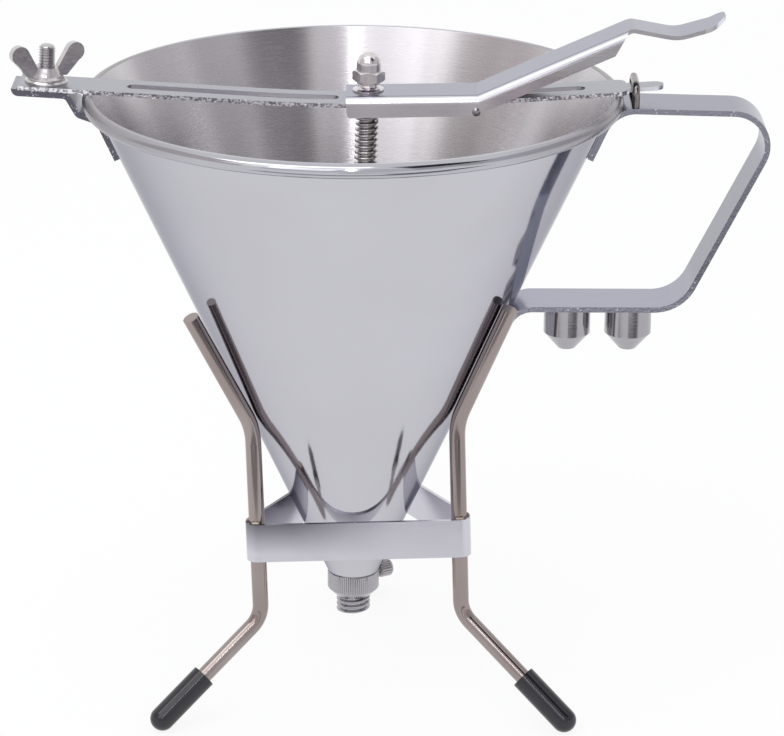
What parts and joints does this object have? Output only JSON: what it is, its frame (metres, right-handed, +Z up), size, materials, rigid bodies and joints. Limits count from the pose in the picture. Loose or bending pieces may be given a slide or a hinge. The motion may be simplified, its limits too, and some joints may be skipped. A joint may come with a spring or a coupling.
{
  "type": "pancake batter dispenser",
  "caption": "Stainless steel batter dispenser: a conical hopper with a side handle and a thumb lever that lifts a sprung valve rod, resting in a wire stand with rubber feet.",
  "frame": {"origin": "on the table, straight below the middle of the outlet", "axes": "+X toward the handle, +Y to the back, +Z up along the hopper's axis"},
  "size_m": [0.266, 0.19, 0.2568],
  "materials": {
    "hopper_cone": "satin",
    "outlet_bush": "satin",
    "lock_screw": "satin",
    "bar_lug": "brushed",
    "clamp_stud": "satin",
    "clamp_washer": "satin",
    "wing_nut": "satin",
    "handle": "brushed",
    "keeper_loop": "polished",
    "nozzle_studs": "satin",
    "nozzle_inner": "satin",
    "nozzle_outer": "satin",
    "crossbar": "brushed",
    "pivot_sleeve": "satin",
    "pivot_pin": "satin",
    "lever": "brushed",
    "valve_rod": "satin",
    "valve_ball": "satin",
    "cap_nut": "polished",
    "dome_washer": "polished",
    "spring_collar": "satin",
    "return_spring": "polished",
    "stand_band": "brushed",
    "leg_left": "polished",
    "leg_right": "polished",
    "leg_rear": "polished",
    "foot_left": "gloss",
    "foot_right": "gloss",
    "foot_rear": "gloss"
  },
  "bodies": {
    "stand": {"stand_band": "stand_band", "leg_left": "leg_left", "leg_right": "leg_right", "leg_rear": "leg_rear", "foot_left": "foot_left", "foot_right": "foot_right", "foot_rear": "foot_rear"},
    "hopper": {"hopper_cone": "hopper_cone", "outlet_bush": "outlet_bush", "bar_lug": "bar_lug", "clamp_stud": "clamp_stud", "clamp_washer": "clamp_washer", "handle": "handle", "keeper_loop": "keeper_loop", "nozzle_studs": "nozzle_studs", "crossbar": "crossbar", "pivot_sleeve": "pivot_sleeve", "return_spring": "return_spring"},
    "lever": {"lever": "lever", "pivot_pin": "pivot_pin"},
    "valve": {"valve_rod": "valve_rod", "valve_ball": "valve_ball", "cap_nut": "cap_nut", "dome_washer": "dome_washer", "spring_collar": "spring_collar"},
    "wing_nut": {"wing_nut": "wing_nut"},
    "lock_screw": {"lock_screw": "lock_screw"},
    "nozzle_inner": {"nozzle_inner": "nozzle_inner"},
    "nozzle_outer": {"nozzle_outer": "nozzle_outer"}
  },
  "joints": [
    {"name": "hopper_lift", "type": "slide", "parent": "stand", "child": "hopper", "axis": [0, 0, 1], "range_m": [0, 0.2]},
    {"name": "lever_tilt", "type": "hinge", "parent": "hopper", "child": "lever", "pos_m": [0.0431, 0, 0.22376], "axis": [0, 1, 0], "range_deg": [0, 14]},
    {"name": "valve_lift", "type": "slide", "parent": "hopper", "child": "valve", "axis": [0.0296, 0, 0.9996], "range_m": [0, 0.0109], "stiffness_N_per_m": 1100, "springref_m": -0.004, "deforming": ["return_spring"]},
    {"name": "wing_nut_turn", "type": "hinge", "parent": "hopper", "child": "wing_nut", "pos_m": [-0.1078, 0, 0.23063], "axis": [0.0584, 0, 0.9983], "continuous": true},
    {"name": "lock_screw_turn", "type": "hinge", "parent": "hopper", "child": "lock_screw", "pos_m": [0.00823, 0.00475, 0.04325], "axis": [0.866, 0.5, 0], "continuous": true},
    {"name": "nozzle_inner_turn", "type": "hinge", "parent": "hopper", "child": "nozzle_inner", "pos_m": [0.07699, 0, 0.14694], "axis": [0, 0, 1], "continuous": true},
    {"name": "nozzle_outer_turn", "type": "hinge", "parent": "hopper", "child": "nozzle_outer", "pos_m": [0.09889, 0, 0.14694], "axis": [0, 0, 1], "continuous": true}
  ],
  "couplings": [
    {"joint": "lever_tilt", "follows": "valve_lift", "rad_per_m": 22.321}
  ]
}
